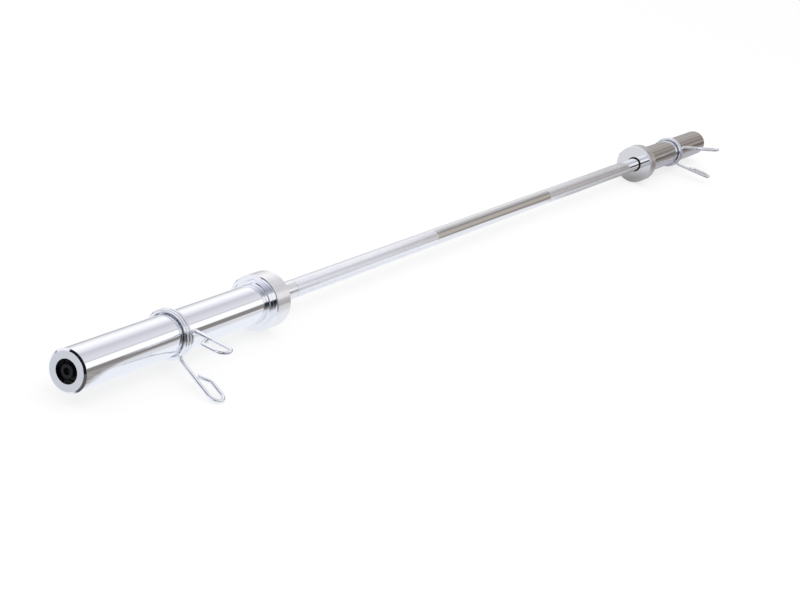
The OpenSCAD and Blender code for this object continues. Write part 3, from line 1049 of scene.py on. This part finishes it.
# What polished metal sees of the studio. Each part is a ring of wall round the bar, by angle in degrees: 0 is
# level behind the bar, 90 overhead and 180 level in front. A part takes over from the one before it between
# two directions along the bar, from -1 straight back past the near end to 1 straight on past the far end. The
# three narrow parts that are nearly black follow what the chamfer round the near end face reflects.
STUDIO = [
    (None, [
        (-180, "#2A2C33"), (0, "#F4F5FA"), (60, "#F4F5FA"), (88, "#D4D6E0"), (112, "#BCBEC8"),
        (122, "#FFFFFF"), (156, "#FFFFFF"), (160, "#1E2026"), (180, "#2A2C33"),
    ]),
    ((-0.92, -0.88), [
        (-180, "#2A2C33"), (0, "#FCFCFF"), (40, "#F2F3FA"), (70, "#D0D2DC"), (102, "#9A9CA8"),
        (118, "#B4B6C0"), (126, "#FFFFFF"), (154, "#FFFFFF"), (160, "#1E2026"), (180, "#2A2C33"),
    ]),
    ((-0.7, -0.665), [
        (-180, "#70727A"), (0, "#A6A8B0"), (60, "#9C9EA6"), (82, "#84868E"), (94, "#121317"),
        (180, "#0E0F12"),
    ]),
    ((-0.6, -0.57), [
        (-180, "#70727A"), (0, "#A6A8B0"), (56, "#8C8E96"), (66, "#121317"), (102, "#121317"),
        (116, "#8C8E96"), (180, "#70727A"),
    ]),
    ((-0.53, -0.5), [
        (-180, "#70727A"), (0, "#A6A8B0"), (38, "#9C9EA6"), (48, "#121317"), (76, "#121317"),
        (90, "#8C8E96"), (180, "#70727A"),
    ]),
    ((-0.38, -0.32), [
        (-180, "#A0A2AC"), (0, "#F0F1F6"), (60, "#ECEDF4"), (120, "#D8DAE2"), (180, "#A0A2AC"),
    ]),
    ((0.1, 0.62), [
        (-180, "#8A8583"), (-20, "#E6E6E8"), (2, "#D0D0D4"), (32, "#FCFCFC"), (50, "#FAFAFC"),
        (64, "#E8E8EE"), (84, "#C7C7CD"), (122, "#DEDDE3"), (129, "#C6C6C9"), (134, "#FFFFFF"),
        (157, "#FFFFFF"), (163, "#827E7C"), (180, "#8A8583"),
    ]),
    ((0.842, 0.848), [
        (-180, "#FFFFFF"), (-20, "#D0D0D2"), (10, "#DCDCDE"), (40, "#FFFFFF"), (94, "#FFFFFF"),
        (110, "#D2D1D9"), (160, "#D6D5DD"), (172, "#FFFFFF"), (180, "#FFFFFF"),
    ]),
    ((0.872, 0.886), [
        (-180, "#968F8A"), (-20, "#F4F4F4"), (6, "#EFEFEF"), (30, "#E4E4E6"), (60, "#CACACC"),
        (84, "#B4B4B6"), (98, "#8F8A88"), (106, "#8F8A88"), (120, "#A8A39D"), (136, "#BAB2AA"),
        (156, "#B8B0A8"), (168, "#9C958F"), (180, "#968F8A"),
    ]),
    ((0.918, 0.934), [
        (-180, "#5C534D"), (-20, "#D0CECC"), (2, "#BEBCBA"), (20, "#9A9692"), (58, "#ACA7A2"),
        (64, "#928C87"), (78, "#A8A29D"), (100, "#857E78"), (112, "#9A938E"), (126, "#7E7670"),
        (142, "#877F78"), (150, "#A8A09A"), (160, "#7C746D"), (180, "#5C534D"),
    ]),
]

# Painted reflection: what polished metal sees of the floor, which the floor gives off as its own light,
# across the
# bar: from -1, a metre in front of it, to 1, a metre behind it. Each part takes over from the one before it
# between two places along the bar, in metres from its middle.
PAINTED_FLOOR_REFLECTION = [
    (None, [(-1.0, "#C2C5CB")]),
    ((-1.125, -1.105), [
        (-1.0, "#6A6664"), (-0.5, "#8A8583"), (-0.34, "#CDCED2"), (-0.12, "#D4D5D9"), (-0.09, "#E9ECF1"),
        (0.12, "#E9ECF1"), (0.5, "#8A8583"),
    ]),
    ((-0.45, -0.2), [
        (-1.0, "#A8A5A6"), (-0.6, "#CFCECF"), (-0.12, "#E9ECF1"), (0.01, "#E9ECF1"), (0.04, "#D4D4D8"),
        (1.0, "#A8A5A6"),
    ]),
    ((0.28, 0.42), [
        (-1.0, "#A8A5A6"), (-0.2, "#B8B7B8"), (0.0, "#B4B4B6"), (0.03, "#D0D1D4"), (1.0, "#A8A5A6"),
    ]),
    # Painted shadow of the bar: darker grey right under it, in this part and the next.
    ((0.54, 0.68), [
        (-1.0, "#A8A5A6"), (-0.05, "#A8A7A9"), (0.0, "#858280"), (0.04, "#9B9998"), (0.07, "#DCDCE0"),
        (1.0, "#A8A5A6"),
    ]),
    ((0.76, 0.86), [
        (-1.0, "#5E5650"), (-0.13, "#746C67"), (-0.09, "#9A989A"), (-0.022, "#A5A5AC"), (0.0, "#8A8B90"),
        (0.022, "#A5A5AC"), (0.09, "#9A989A"), (0.13, "#746C67"),
    ]),
]

# A dark patch painted into the floor's reflection in front of the near end, in metres. It fades in across its
# edge and its back, the two spans so named below, and its grey turns black across the last span. The edge
# slants: it holds for the place along the bar plus the slant times the place across it.
PATCH_SLANT = 1.35
PATCH_EDGE = (-1.09, -1.12)
PATCH_BACK = (-0.012, -0.022)
PATCH_BLACKENS = (-1.06, -1.1)

# How much of the floor's look is its own light: white to the eye, and the parts above to polished metal.
FLOOR_WHITE = 0.7
FLOOR_MIRRORED = 0.9


def row_of_parts(tree, parts, low, high, across, along):
    """The colour of a row of parts. Each is a ramp with stops from low to high, read at a place from 0 to 1
    across the row, and takes over from the one before it between two places along the row."""
    seen = None
    for takes_over, stops in parts:
        ramp = add_node(tree, "ValToRGB", links={"Fac": across})
        set_stops(ramp, [((at - low) / (high - low), linear(shade)) for at, shade in stops])
        if takes_over is None:
            seen = ramp
            continue
        share = add_node(
            tree,
            "MapRange",
            {"interpolation_type": "SMOOTHSTEP", "From Min": takes_over[0], "From Max": takes_over[1]},
            {"Value": along},
        )
        seen = add_node(tree, "Mix", {"data_type": "RGBA"}, {0: share, 6: seen, 7: ramp}).outputs[2]
    return seen


def shown_apart(tree, to_eye, in_metal):
    """One shader for what is seen straight, and another for what is seen in a mirror or through glass."""
    rays = add_node(tree, "LightPath")
    mirrored = add_node(
        tree,
        "Math",
        {"operation": "MAXIMUM"},
        {0: rays.outputs["Is Glossy Ray"], 1: rays.outputs["Is Transmission Ray"]},
    )
    return add_node(tree, "MixShader", links={0: mirrored, 1: to_eye, 2: in_metal})


class BARBELL_OT_stage(bpy.types.Operator):
    """Set the floor, the studio light and the camera"""

    bl_idname = "barbell.stage"
    bl_label = "Stage"
    bl_options = {"REGISTER", "UNDO"}

    def execute(self, context):
        stage = context.scene.barbell_stage
        self.floor(stage)
        self.studio(context.scene)
        self.lamp(context.scene, stage)
        camera = bpy.data.cameras.new("Camera")
        camera.lens = stage.camera_lens
        camera.sensor_width = 36
        camera.clip_end = 100
        holder = bpy.data.objects.new("Camera", camera)
        context.scene.collection.objects.link(holder)
        holder.location = stage.camera_at
        holder.rotation_euler = stage.camera_turn
        context.scene.camera = holder
        context.scene.view_settings.view_transform = "Standard"
        return {"FINISHED"}

    def floor(self, stage):
        """A pale seamless floor that keeps the bar's soft shadow. Polished metal sees a painted reflection of
        it instead, which the floor gives off as its own light: a bluish white sheet under the bar, between
        darker bands, with a painted shadow of the bar darker right under it towards its far end. All of it is
        darker towards the bar's far end, and a painted dark patch with a slanting edge lies in front of the
        near end."""
        deselect()
        lowest = CAD_BOX[0][2]
        bpy.ops.mesh.primitive_plane_add(size=stage.floor_size, location=(0, 0, lowest - stage.floor_drop))
        floor = bpy.context.object
        floor.name = "studio_floor"
        material, tree, place = shader("matt_studio_floor")
        apart = add_node(tree, "SeparateXYZ", links={"Vector": place})
        across = add_node(tree, "MapRange", {"From Min": -1, "From Max": 1}, {"Value": apart.outputs["Y"]})
        reflected_floor = row_of_parts(tree, PAINTED_FLOOR_REFLECTION, -1, 1, across, apart.outputs["X"])
        patch_share, mat = self.mat(tree, place, apart)
        seen = add_node(tree, "Mix", {"data_type": "RGBA"}, {0: patch_share, 6: reflected_floor, 7: mat})
        matt = add_node(
            tree,
            "BsdfPrincipled",
            {"Base Color": (*stage.floor_colour, 1), "Roughness": 0.9, "Specular IOR Level": 0.0},
        )
        # Painted reflection: the floor gives off the colours above as light of its own, and only polished
        # metal sees it.
        painted_reflection = add_node(tree, "Emission", {"Strength": MIRRORED_LIGHT}, {"Color": seen.outputs[2]})
        white = add_node(tree, "Emission", {"Color": (1, 1, 1, 1), "Strength": 1.0})
        rays = add_node(tree, "LightPath")
        shown = add_node(tree, "MixShader", {0: FLOOR_WHITE}, {1: matt, 2: white})
        mirror = add_node(tree, "MixShader", {0: FLOOR_MIRRORED}, {1: matt, 2: painted_reflection})
        to_eye = add_node(tree, "MixShader", links={0: rays.outputs["Is Camera Ray"], 1: matt, 2: shown})
        surface = shown_apart(tree, to_eye, mirror)
        add_node(tree, "OutputMaterial", links={"Surface": surface})
        floor.data.materials.append(material)

    def mat(self, tree, place, apart):
        """Where the dark patch that is painted into the floor's reflection lies, and its colour: mottled grey
        beside the bar, and black past its end.
        """
        slant = add_node(
            tree,
            "Math",
            {"operation": "MULTIPLY_ADD", 1: PATCH_SLANT},
            {0: apart.outputs["Y"], 2: apart.outputs["X"]},
        )
        fades = [
            add_node(tree, "MapRange", {"From Min": start, "From Max": stop}, {"Value": source})
            for (start, stop), source in (
                (PATCH_EDGE, slant),
                (PATCH_BACK, apart.outputs["Y"]),
                (PATCH_BLACKENS, apart.outputs["X"]),
            )
        ]
        edge, back, blackens = fades
        patch_share = add_node(tree, "Math", {"operation": "MULTIPLY"}, {0: edge, 1: back})
        # Painted reflection: a mottled grey near the bar that turns black past its end.
        mottle = add_node(
            tree, "TexNoise", {"Scale": 1 / (14 * MM), "Detail": 3.0, "Roughness": 0.6}, {"Vector": place}
        )
        mottled_grey = add_node(tree, "ValToRGB", links={"Fac": mottle})
        set_stops(mottled_grey, [(0.35, linear("#4C4846")), (0.65, linear("#B0ABA8"))])
        patch_colour = add_node(
            tree, "Mix", {"data_type": "RGBA", 7: (*linear("#121214"), 1)}, {0: blackens, 6: mottled_grey}
        )
        return patch_share, patch_colour.outputs[2]

    def studio(self, scene):
        """White all round to the eye. Polished metal sees a studio: long strip lights beside the bar, with
        grey walls between them that are darker and warmer towards the bar's far end, and behind the near
        end a dim room with one lamp in it."""
        world = bpy.data.worlds.new("Studio")
        world.use_nodes = True
        scene.world = world
        tree = world.node_tree
        tree.nodes.clear()
        place = add_node(tree, "TexCoord")
        apart = add_node(tree, "SeparateXYZ", links={"Vector": place.outputs["Generated"]})
        turn = add_node(
            tree, "Math", {"operation": "ARCTAN2"}, {0: apart.outputs["Z"], 1: apart.outputs["Y"]}
        )
        share = add_node(tree, "MapRange", {"From Min": -math.pi, "From Max": math.pi}, {"Value": turn})
        seen = row_of_parts(tree, STUDIO, -180, 180, share, apart.outputs["X"])
        shown = add_node(tree, "Background", {"Color": (1, 1, 1, 1), "Strength": 1.0})
        reflected = add_node(tree, "Background", {"Strength": MIRRORED_LIGHT}, {"Color": seen})
        surface = shown_apart(tree, shown, reflected)
        add_node(tree, "OutputWorld", links={"Surface": surface})

    def lamp(self, scene, stage):
        """One large soft lamp overhead, which lights the floor and the dull pieces."""
        lamp = bpy.data.lights.new("Overhead softbox", "AREA")
        lamp.shape = "RECTANGLE"
        lamp.size = stage.lamp_length
        lamp.size_y = stage.lamp_width
        lamp.energy = stage.lamp_power
        holder = bpy.data.objects.new("Overhead softbox", lamp)
        scene.collection.objects.link(holder)
        holder.location = stage.lamp_at
        holder.rotation_euler = (stage.lamp_tilt, 0, 0)
        holder.visible_glossy = False


class BARBELL_PT_build(bpy.types.Panel):
    """Lists the steps that build the barbell"""

    bl_idname = "BARBELL_PT_build"
    bl_label = "Barbell"
    bl_space_type = "VIEW_3D"
    bl_region_type = "UI"
    bl_category = "Barbell"

    def draw(self, context):
        column = self.layout.column(align=True)
        for step in STEPS:
            column.operator(step.bl_idname)
        for group in GROUPS:
            box = self.layout.box()
            box.label(text=group.__name__)
            holder = getattr(context.scene, GROUPS[group])
            for name in group.__annotations__:
                box.prop(holder, name)


STEPS = (
    BARBELL_OT_shaft,
    BARBELL_OT_sleeves,
    BARBELL_OT_collars,
    BARBELL_OT_seals,
    BARBELL_OT_end_bolts,
    BARBELL_OT_clips,
    BARBELL_OT_bearings,
    BARBELL_OT_stage,
)
GROUPS = {
    BarSizes: "barbell_sizes",
    KnurlSizes: "barbell_knurl",
    FasteningSizes: "barbell_fastening",
    ClipSizes: "barbell_clips",
    Finishes: "barbell_finishes",
    StageSizes: "barbell_stage",
}


def register():
    for group, name in GROUPS.items():
        bpy.utils.register_class(group)
        setattr(bpy.types.Scene, name, PointerProperty(type=group))
    for step in STEPS:
        bpy.utils.register_class(step)
    bpy.utils.register_class(BARBELL_PT_build)


def unregister():
    bpy.utils.unregister_class(BARBELL_PT_build)
    for step in reversed(STEPS):
        bpy.utils.unregister_class(step)
    for group, name in reversed(GROUPS.items()):
        delattr(bpy.types.Scene, name)
        bpy.utils.unregister_class(group)


def main():
    register()
    for step in STEPS:
        family, name = step.bl_idname.split(".")
        getattr(getattr(bpy.ops, family), name)()


if __name__ == "__main__":
    main()
